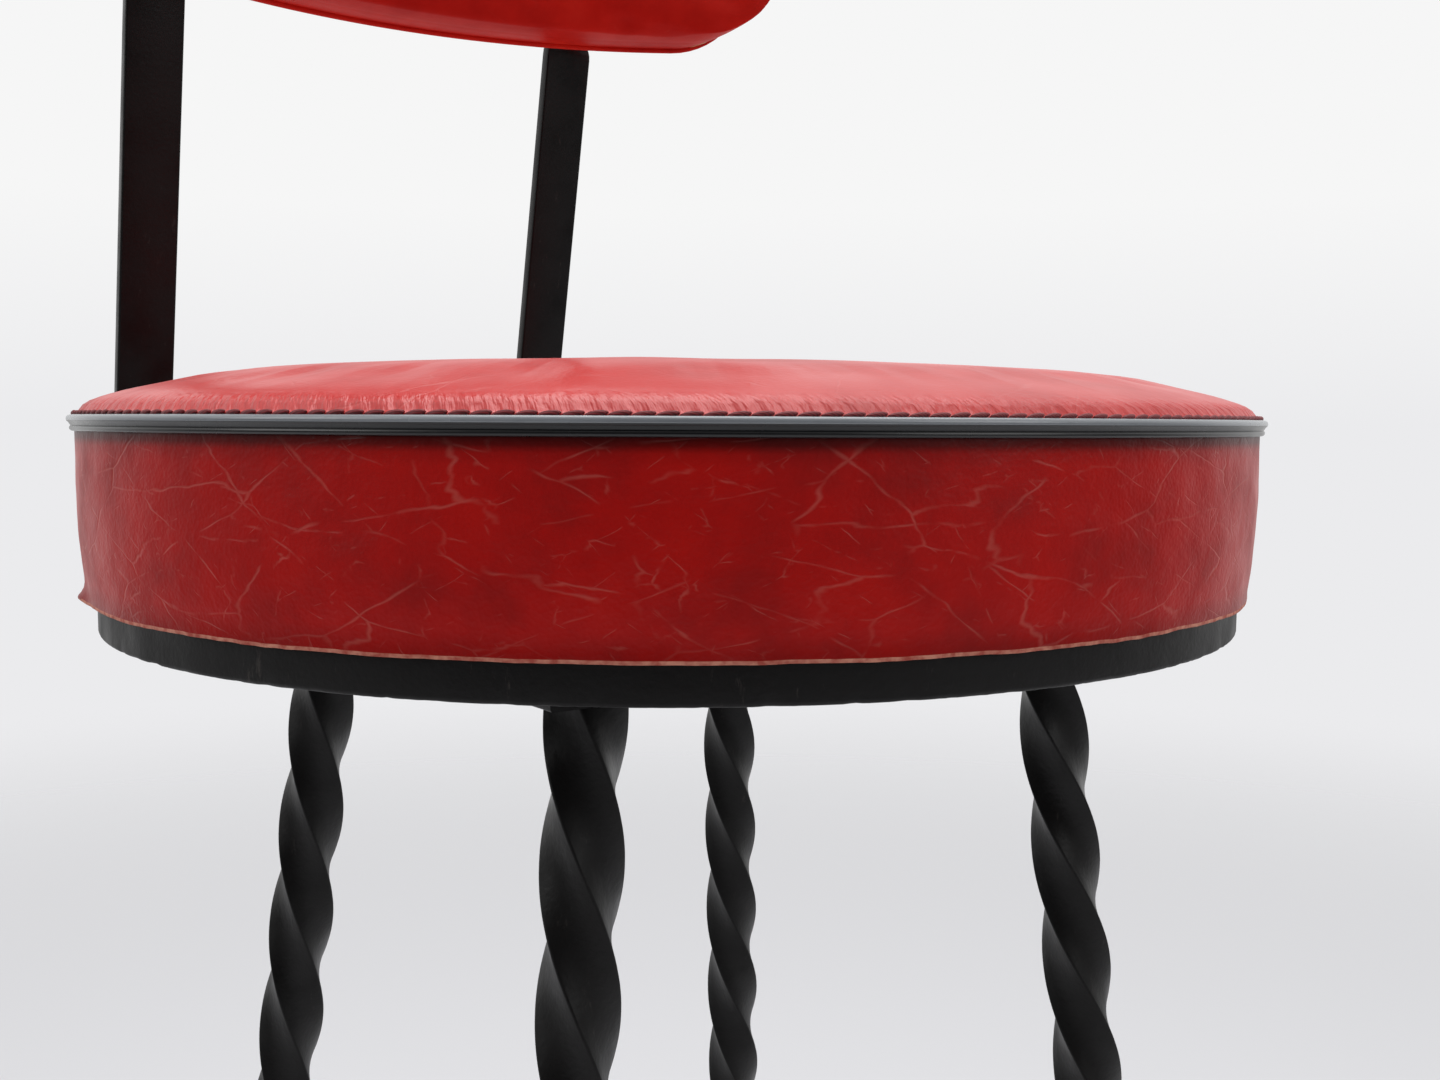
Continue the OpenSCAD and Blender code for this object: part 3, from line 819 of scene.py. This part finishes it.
def sweep(made, stations):
    """Carries the one face of a bmesh, drawn at the first station, through the others."""
    face = made.faces[:][0]
    bmesh.ops.transform(made, matrix=stations[0], verts=face.verts)
    bmesh.ops.reverse_faces(made, faces=[face])
    for before, after in zip(stations, stations[1:]):
        first = before is stations[0]
        grown = bmesh.ops.extrude_face_region(made, geom=[face], use_keep_orig=first)
        face = [g for g in grown["geom"] if isinstance(g, bmesh.types.BMFace)][0]
        bmesh.ops.transform(made, matrix=after @ before.inverted(), verts=face.verts)
    bmesh.ops.recalc_face_normals(made, faces=made.faces)


# Satin black lacquer on flat iron bar, lightly scuffed
iron = black_lacquer("satin_black_iron_lacquer", 0.4, 0.35, 0.35)


def bar_stations(side):
    """Places along the middle of a back bar: X across it, Y through it, Z along it."""
    lie = Matrix.Rotation(-pi / 2, 4, "X")
    front = Matrix.Translation((side * bar_x, right_low.y, frame_z + bar_t / 2)) @ lie
    route = [front, Matrix.Translation((0, bend_y - right_low.y, 0)) @ front]
    bend_steps = 36
    turn_by = pi / 2 + bar_lean
    centre = Vector((side * bar_x, bend_y, bend_z))
    for i in range(1, bend_steps + 1):
        turning = Matrix.Rotation(turn_by * i / bend_steps, 4, "X")
        route.append(
            Matrix.Translation(centre) @ turning @ Matrix.Translation(-centre) @ route[1]
        )
    upright = route[-1]
    straight = 8
    for i in range(1, straight + 1):
        route.append(upright @ Matrix.Translation((0, 0, (upright_l - 4 * MM) * i / straight)))
    last = route[-1]
    flat = tab_place(side, tab_low)
    flat = flat @ Matrix.Rotation(pi, 4, "Z")
    knee_steps = 14
    for i in range(1, knee_steps + 1):
        t = i / knee_steps
        ease = t * t * (3 - 2 * t)
        spot = last.translation.lerp(flat.translation, t)
        bow = last.to_quaternion().slerp(flat.to_quaternion(), ease)
        route.append(Matrix.Translation(spot) @ bow.to_matrix().to_4x4())
    route.append(tab_place(side, tab_high) @ Matrix.Rotation(pi, 4, "Z"))
    return route


for side, node in ((-1, "back_bar_left"), (1, "back_bar_right")):
    bm = rounded_section(bar_w, bar_t, bar_edge, 0)
    sweep(bm, bar_stations(side))
    bar = add_piece("bent_" + node, bm, [iron])
    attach(bar, "root")
    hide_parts(node)

# ======================= cross straps =======================
# Two short flat bars welded between the back bars, under the board. Their shape is the
# frame's own, in the same lacquer.



def repaint(piece, finish):
    """Gives a piece one material in place of those it has."""
    piece.data.materials.clear()
    piece.data.materials.append(finish)


for node in ("front_cross_strap", "rear_cross_strap"):
    repaint(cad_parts[node], iron)

# ======================= legs =======================
# Four square iron bars, each twisted hot from the frame down to a short plain foot, so its
# corners run round it as four sharp ridges. All four are twisted the same way.

leg_bar = 16 * MM
leg_edge = 0.8 * MM
leg_top_r = board_r - 57 * MM
leg_splay = radians(6.8)
leg_turns = [59, 69, 40, 47]
twist_pitch = 150 * MM
plain_foot = 70 * MM
cap_floor = 6 * MM
leg_names = ["rear_right", "rear_left", "front_left", "front_right"]
leg_l = frame_z / cos(leg_splay)
# The same lacquer on the twisted bar, with a coarser surface from the hot twisting
leg_iron = black_lacquer("satin_black_twisted_iron", 0.42, 0.5, 0.3)


def leg_heading(i):
    """A turn round the seat's middle that points X at leg i."""
    return Matrix.Rotation(radians(45 + 90 * i), 4, "Z")


def leg_place(i):
    """The top of leg i at the frame, with Z up along the leg and X outwards."""
    return (
        leg_heading(i)
        @ Matrix.Translation((leg_top_r, 0, frame_z))
        @ Matrix.Rotation(-leg_splay, 4, "Y")
    )


def cut_off(made, height, up):
    """Removes all above a height, or below it if up is -1, and returns the cut's edges."""
    return bmesh.ops.bisect_plane(
        made,
        geom=made.verts[:] + made.edges[:] + made.faces[:],
        plane_co=(0, 0, height),
        plane_no=(0, 0, up),
        clear_outer=True,
    )["geom_cut"]


twist_l = leg_l - plain_foot
twist_steps = ceil(degrees(2 * pi * twist_l / twist_pitch) / 3)
twisted = rounded_section(leg_bar, leg_bar, leg_edge, 4)
wound = bmesh.ops.spin(
    twisted,
    geom=twisted.faces[:],
    axis=(0, 0, 1),
    cent=(0, 0, 0),
    dvec=(0, 0, -twist_l / twist_steps),
    angle=2 * pi * twist_l / twist_pitch,
    steps=twist_steps,
)
foot = [g for g in wound["geom_last"] if isinstance(g, bmesh.types.BMFace)]
plain = bmesh.ops.extrude_face_region(twisted, geom=foot)
ends = [g for g in plain["geom"] if isinstance(g, bmesh.types.BMVert)]
bmesh.ops.translate(twisted, verts=ends, vec=(0, 0, cap_floor - plain_foot))
bmesh.ops.recalc_face_normals(twisted, faces=twisted.faces)

for i, name in enumerate(leg_names):
    bm = twisted.copy()
    turned = leg_place(i) @ Matrix.Rotation(radians(leg_turns[i]), 4, "Z")
    bmesh.ops.transform(bm, verts=bm.verts, matrix=turned)
    cut_off(bm, frame_z, 1)
    leg = add_piece("twisted_leg_" + name, bm, [leg_iron])
    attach(leg, "root")
    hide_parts("leg_" + name)

# ======================= welds =======================
# Rings of weld where each leg meets the frame, and beads over and under the foot ring at
# each leg. They are rippled, and lacquered with the rest.

# Weld metal under the same lacquer: rough and rippled
weld_iron = black_lacquer("lacquered_weld", 0.45, 0.9, 0.25)


def merge(joined, part):
    """Adds one bmesh to another and frees it."""
    carrier = bpy.data.meshes.new("carrier")
    part.to_mesh(carrier)
    part.free()
    joined.from_mesh(carrier)
    bpy.data.meshes.remove(carrier)


bm = bmesh.new()
for i in range(len(leg_names)):
    bead = spun(arc(leg_bar / 2 + 0.6 * MM, -0.4 * MM, 3.2 * MM, -100, 20, 6), 72)
    for v in bead.verts:
        turn = atan2(v.co.y, v.co.x)
        ripple = 0.35 * MM * sin(14 * turn + 3 * sin(turn)) * max(0, -v.co.z / (3 * MM))
        v.co.xy *= 1 + ripple / v.co.xy.length
    middle = leg_heading(i) @ Matrix.Translation((leg_top_r, 0, frame_z))
    bmesh.ops.transform(bead, verts=bead.verts, matrix=middle)
    merge(bm, bead)
cut_off(bm, frame_z, 1)
leg_welds = add_piece("rippled_leg_welds", bm, [weld_iron])
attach(leg_welds, "root")
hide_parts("leg_welds")

# ======================= foot ring =======================
# A ring of round iron bar welded inside the legs. Shoes have rubbed the lacquer thin along
# its upper side.

ring_low, ring_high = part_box("foot_ring")
ring_bar = ring_high.z - ring_low.z
ring_z = (ring_high.z + ring_low.z) / 2
ring_r = ring_high.x - ring_bar / 2
# The same lacquer rubbed by shoes: a little smoother, with many pale scuffs
rubbed_iron = black_lacquer("rubbed_black_iron_lacquer", 0.38, 0.35, 0.8)
ring = add_piece(
    "rubbed_foot_ring", spun(arc(ring_r, ring_z, ring_bar / 2, 0, 360, 24), 240), [rubbed_iron]
)
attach(ring, "root")
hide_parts("foot_ring")

leg_r_at_ring = leg_top_r + (frame_z - ring_z) * sin(leg_splay) / cos(leg_splay)
bm = bmesh.new()
for i in range(len(leg_names)):
    for up in (-1, 1):
        lift = up * (ring_bar / 2 - 2 * MM)
        out = leg_r_at_ring - leg_bar / 2 - 1 * MM - lift * sin(leg_splay)
        spot = (
            leg_heading(i)
            @ Matrix.Translation((out, 0, ring_z + lift))
            @ Matrix.Diagonal((3.6 * MM, leg_bar / 2, 3.6 * MM, 1))
        )
        made = bmesh.ops.create_uvsphere(bm, u_segments=24, v_segments=16, radius=1, matrix=spot)
        for v in made["verts"]:
            along = v.co.dot(spot.col[1].xyz.normalized())
            v.co.z += up * 0.3 * MM * sin(along / (0.4 * MM))
ring_welds = add_piece("rippled_ring_welds", bm, [weld_iron])
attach(ring_welds, "root")
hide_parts("foot_ring_welds")

# ======================= foot caps =======================
# A black rubber boot is pushed over the plain end of each leg. It has a rolled top, two
# grip grooves and a sole that sits flat on the floor.

cap_r = leg_bar * sqrt(2) / 2 + 3 * MM
cap_h = 38 * MM

# Moulded rubber: black, matt, greyed by dust
rubber, rubber_shader = new_material("moulded_black_rubber", "#171717", 0.75)
spot = add_node(rubber, "TexCoord", {})
bloom = add_node(rubber, "TexNoise", {"Scale": 1 / (12 * MM), "Detail": 5}, {0: (spot, "Object")})
soot = add_node(rubber, "ValToRGB", {}, {0: (bloom, 0)})
set_stops(soot, (0.0, "#121212"), (1.0, "#2b2a29"))
speck = add_node(rubber, "TexNoise", {"Scale": 1 / (0.8 * MM), "Detail": 2}, {0: (spot, "Object")})
rough = add_node(rubber, "Bump", {"Strength": 0.3, "Distance": 0.15 * MM}, {"Height": (speck, 0)})
feed(rubber, rubber_shader, {"Base Color": (soot, 0), "Normal": (rough, 0)})

for i, name in enumerate(leg_names):
    top = cap_h - leg_l
    low = -leg_l - 8 * MM
    groove = 1.2 * MM
    side_line = [(cap_r, low)]
    for g in (top - 20 * MM, top - 14 * MM):
        side_line += [(cap_r, g - groove), (cap_r - groove, g), (cap_r, g + groove)]
    profile = (
        [(0, low)]
        + side_line
        + arc(cap_r - 1.5 * MM, top - 1.5 * MM, 1.5 * MM, 0, 90, 5)
        + arc(leg_bar * 0.66, top - 0.8 * MM, 0.8 * MM, 90, 180, 3)
        + [(leg_bar * 0.6, top - 4 * MM), (0, top - 4 * MM)]
    )
    bm = spun(profile, 64)
    bmesh.ops.transform(bm, verts=bm.verts, matrix=leg_place(i))
    cut = cut_off(bm, 0, -1)
    bmesh.ops.holes_fill(bm, edges=[g for g in cut if isinstance(g, bmesh.types.BMEdge)])
    bmesh.ops.recalc_face_normals(bm, faces=bm.faces)
    cap = add_piece("rubber_cap_" + name, bm, [rubber], 30)
    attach(cap, "root")
    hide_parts("foot_cap_" + name)

# ======================= frame screws =======================
# Ten zinc-plated wood screws go up through the bars and straps into the board. Their domed
# heads have six-sided sockets.

# Zinc plate: pale grey metal, slightly dulled and streaked
zinc, zinc_shader = new_material("dull_zinc_plate", "#a9a9a6", 0.38, {"Metallic": 1.0})
spot = add_node(zinc, "TexCoord", {})
spangle = add_node(zinc, "TexVoronoi", {"Scale": 1 / (2 * MM)}, {"Vector": (spot, "Object")})
plate = add_node(zinc, "ValToRGB", {}, {0: (spangle, 0)})
set_stops(plate, (0.0, "#b4b4b0"), (1.0, "#8f908e"))
feed(zinc, zinc_shader, {"Base Color": (plate, 0)})


def domed_heads(places, radius, height, shank_r, shank_l, socket_r):
    """Fasteners with a domed head that has a six-sided socket, standing along Z at places."""
    joined = bmesh.new()
    for spot in places:
        head = spun(
            [(shank_r, -shank_l), (shank_r, 0), (radius, 0), (radius, height * 0.3)]
            + arc(radius * 0.55, height * 0.3, radius * 0.45, 0, 60, 4)[1:]
            + [(socket_r * 1.15, height)],
            24,
        )
        rim = [e for e in head.edges if e.is_boundary and e.verts[0].co.z > height * 0.9]
        socket = bmesh.ops.create_circle(
            head, segments=6, radius=socket_r, matrix=Matrix.Translation((0, 0, height * 0.98))
        )["verts"]
        inner = [e for e in head.edges if all(v in socket for v in e.verts)]
        bmesh.ops.bridge_loops(head, edges=rim + inner)
        sunk = bmesh.ops.extrude_edge_only(head, edges=inner)["geom"]
        floor_verts = [g for g in sunk if isinstance(g, bmesh.types.BMVert)]
        bmesh.ops.translate(head, verts=floor_verts, vec=(0, 0, -height * 0.6))
        bmesh.ops.contextual_create(
            head, geom=[g for g in sunk if isinstance(g, bmesh.types.BMEdge)]
        )
        tip = [e for e in head.edges if e.is_boundary]
        bmesh.ops.holes_fill(head, edges=tip)
        bmesh.ops.recalc_face_normals(head, faces=head.faces)
        bmesh.ops.transform(head, verts=head.verts, matrix=spot)
        merge(joined, head)
    return joined


rear_screw_inset = 23 * MM
bar_screw_y = 40 * MM
strap_screw_x = 45 * MM
rear_screw_y = sqrt((board_r - rear_screw_inset) ** 2 - bar_x**2)
leg_xy = leg_top_r / sqrt(2)
screw_spots = [(s * bar_x, y) for s in (-1, 1) for y in (-bar_screw_y, bar_screw_y, rear_screw_y)]
screw_spots += [(x, s * leg_xy) for s in (-1, 1) for x in (-strap_screw_x, strap_screw_x)]
downwards = Matrix.Rotation(pi, 4, "X")
places = [Matrix.Translation((x, y, frame_z)) @ downwards for x, y in screw_spots]
bm = domed_heads(places, 4.6 * MM, 2.6 * MM, 2.3 * MM, 20 * MM, 1.4 * MM)
screws = add_piece("domed_frame_screws", bm, [zinc], 35)
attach(screws, "root")
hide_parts("frame_screws")

# ======================= backrest pad =======================
# Leather over foam on a bent plywood board. The front leather wraps round the edges to a
# piped seam at the back, and a line of stitching holds it along the edge.

pad_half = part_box("pad_front_cover")[1].x
pad_w = 2 * pad_half
pad_t = 34 * MM
pad_corner = 32 * MM
# Deep red leather, less worn than the seat: soft satin, with few creases
pad_leather = leather(
    "deep_red_pad_leather",
    "#b01a13",
    "#c42118",
    "#d02c1f",
    "#c46a60",
    "Object",
    {"blot": 50 * MM, "stretch": 2.5, "pore": 1.3 * MM},
    {
        "roughness": 0.48,
        "shine": 0.06,
        "creases": [(30 * MM, 0.5 * MM, 0.2, 0.4), (14 * MM, 0.4 * MM, -0.5, 0.38)],
        "pale_crease_wear_and_highlight": 0.12,
        "relief": 0.14,
        "folds": 1.5,
    },
)


def pad_slab(front, back, inset):
    """A flat closed slab with the pad's outline: X across it, Y through it, Z up it."""
    made = bmesh.new()
    bmesh.ops.create_grid(made, x_segments=1, y_segments=1, size=0.5)
    bmesh.ops.scale(made, vec=(pad_w - 2 * inset, pad_h - 2 * inset, 1), verts=made.verts)
    bmesh.ops.bevel(
        made,
        geom=made.verts[:],
        offset=pad_corner - inset,
        segments=10,
        profile=0.5,
        affect="VERTICES",
        material=-1,
    )
    grown = bmesh.ops.extrude_face_region(made, geom=made.faces[:], use_keep_orig=True)
    top = [g for g in grown["geom"] if isinstance(g, bmesh.types.BMVert)]
    bmesh.ops.translate(made, verts=top, vec=(0, 0, back - front))
    bmesh.ops.rotate(made, verts=made.verts, matrix=Matrix.Rotation(-pi / 2, 3, "X"))
    bmesh.ops.translate(made, verts=made.verts, vec=(0, front, pad_h / 2))
    bmesh.ops.recalc_face_normals(made, faces=made.faces)
    return made


def on_curve(point):
    """Carries a point of the flat pad to its place on the curved one, whose ends face sideways."""
    r = pad_r + point.y
    return pad_place @ Vector((point.x, (r * r - point.x * point.x) ** 0.5 - pad_r, point.z))


swell_room = 3 * MM
bm = pad_slab(-pad_t + swell_room, 1.5 * MM, -3 * MM)
front_edges = [e for e in bm.edges if all(v.co.y < -pad_t / 2 for v in e.verts)]
bmesh.ops.bevel(
    bm, geom=front_edges, offset=9 * MM, segments=5, profile=0.5, affect="EDGES", material=-1
)
pad_front = add_piece("pad_front", bm, [pad_leather])
remesh = pad_front.modifiers.new("remesh", "REMESH")
remesh.mode = "VOXEL"
remesh.voxel_size = 4.5 * MM
settle(pad_front)
inflate(pad_front, lambda p: p.y > -12 * MM, 4, 4.5 * MM)
smooth = pad_front.modifiers.new("smooth", "SUBSURF")
smooth.levels = 2
smooth.render_levels = 2
settle(pad_front)

seam_depth = -14 * MM
seam_half = 1.1 * MM
wall_start = 28 * MM
wall_fade = 9 * MM
half_h = pad_h / 2
facing = [v.normal.copy() for v in pad_front.data.vertices]
for v, normal in zip(pad_front.data.vertices, facing):
    p = v.co
    across = max(0, abs(p.x) - (pad_w / 2 - pad_corner))
    upward = max(0, abs(p.z - half_h) - (half_h - pad_corner))
    edge_gap = pad_corner - hypot(across, upward)
    p.y = min(p.y, -0.7 * MM)
    if edge_gap < 8 * MM and hypot(across, upward) > 0:
        away = Vector((across * (1 if p.x > 0 else -1), 0, upward * (1 if p.z > half_h else -1)))
        away.normalize()
        groove = exp(-(((p.y - seam_depth) / seam_half) ** 2))
        bulge = 0.2 * MM + 1.2 * MM * ((p.y + pad_t / 2) / (pad_t / 2)) ** 2
        sideways = min(1, max(0, (normal @ away - 0.2) / 0.5))
        wall = sideways * min(1, max(0, (p.y + wall_start) / wall_fade))
        inset = max(bulge - edge_gap, 0) + wall * min(bulge - edge_gap, 0)
        v.co = p - away * (inset + 0.12 * MM * groove)
    v.co = on_curve(v.co)
pad_front.name = "padded_backrest_front"
pad_front.data.shade_smooth()
repaint(pad_front, pad_leather)
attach(pad_front, "root")
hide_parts("pad_front_cover", "pad_foam")

# ----- rear cover: one flat panel of leather over the plywood
bm = pad_slab(-leather_t, 0, 2 * MM)
rounding = [e for e in bm.edges if all(v.co.y > -leather_t / 2 for v in e.verts)]
bmesh.ops.bevel(
    bm, geom=rounding, offset=1 * MM, segments=3, profile=0.5, affect="EDGES", material=-1
)
strip_count = 64
for i in range(1, strip_count):
    bmesh.ops.bisect_plane(
        bm,
        geom=bm.verts[:] + bm.edges[:] + bm.faces[:],
        plane_co=(pad_w * (i / strip_count - 0.5), 0, 0),
        plane_no=(1, 0, 0),
    )
for v in bm.verts:
    v.co = on_curve(v.co)
bmesh.ops.recalc_face_normals(bm, faces=bm.faces)
pad_rear = add_piece("leather_backrest_rear", bm, [pad_leather], 50)
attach(pad_rear, "root")
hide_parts("pad_rear_cover")

# ----- welt: a leather-covered cord in the seam round the back
welt_fat = 1.7 * MM
welt_set_in = 1.1 * MM
corner = pad_corner - welt_set_in
wide = pad_w / 2 - welt_set_in
tall = pad_h / 2 - welt_set_in
round_points = []
for k, (sx, sz) in enumerate(((1, 1), (-1, 1), (-1, -1), (1, -1))):
    round_points += arc(sx * (wide - corner), sz * (tall - corner), corner, 90 * k, 90 * k + 90, 12)
route = []
for a, b in zip(round_points, round_points[1:] + round_points[:1]):
    parts = max(1, round(hypot(b[0] - a[0], b[1] - a[1]) / (8 * MM)))
    for j in range(parts):
        x = a[0] + (b[0] - a[0]) * j / parts
        z = a[1] + (b[1] - a[1]) * j / parts
        route.append(on_curve(Vector((x, -0.3 * MM, half_h + z))))
count = len(route)
stations = []
for j in range(count + 1):
    spot = route[j % count]
    ahead = (route[(j + 1) % count] - route[(j - 1) % count]).normalized()
    stations.append(Matrix.Translation(spot) @ ahead.to_track_quat("Z", "Y").to_matrix().to_4x4())
bm = bmesh.new()
bmesh.ops.create_circle(bm, cap_ends=True, segments=12, radius=welt_fat)
sweep(bm, stations)
ends = [f for f in bm.faces if len(f.verts) == 12]
bmesh.ops.delete(bm, geom=ends, context="FACES_ONLY")
bmesh.ops.remove_doubles(bm, verts=bm.verts, dist=0.2 * MM)
bmesh.ops.recalc_face_normals(bm, faces=bm.faces)
welt = add_piece("piped_welt", bm, [pad_leather], 80)
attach(welt, "root")
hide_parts("pad_welt")

# ======================= pad fastenings =======================
# Two zinc-plated button-head bolts go through each bar's flat end into tee nuts behind the
# foam. The bent plywood board between them is birch.

bolt_heights = (42 * MM, 88 * MM)
places = [
    tab_place(side, up) @ Matrix.Translation((0, bar_t / 2, 0)) @ Matrix.Rotation(-pi / 2, 4, "X")
    for side in (-1, 1)
    for up in bolt_heights
]
bm = domed_heads(places, 6 * MM, 3.4 * MM, 3 * MM, 17 * MM, 2 * MM)
bolts = add_piece("button_head_pad_bolts", bm, [zinc], 35)
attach(bolts, "root")
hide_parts("pad_bolts")

repaint(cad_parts["pad_tee_nuts"], zinc)

# Birch plywood: pale layers that run through the thickness
birch, birch_shader = new_material("birch_plywood", "#c79f6c", 0.6)
spot = add_node(birch, "TexCoord", {})
long_grain = add_node(birch, "Mapping", {"Scale": (0.1, 1, 1)}, {"Vector": (spot, "Object")})
figure = add_node(birch, "TexNoise", {"Scale": 1 / (3 * MM), "Detail": 6}, {0: (long_grain, 0)})
wood = add_node(birch, "ValToRGB", {}, {0: (figure, 0)})
set_stops(wood, (0.0, "#a87c4c"), (1.0, "#dcbd8c"))
feed(birch, birch_shader, {"Base Color": (wood, 0)})
repaint(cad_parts["pad_board"], birch)
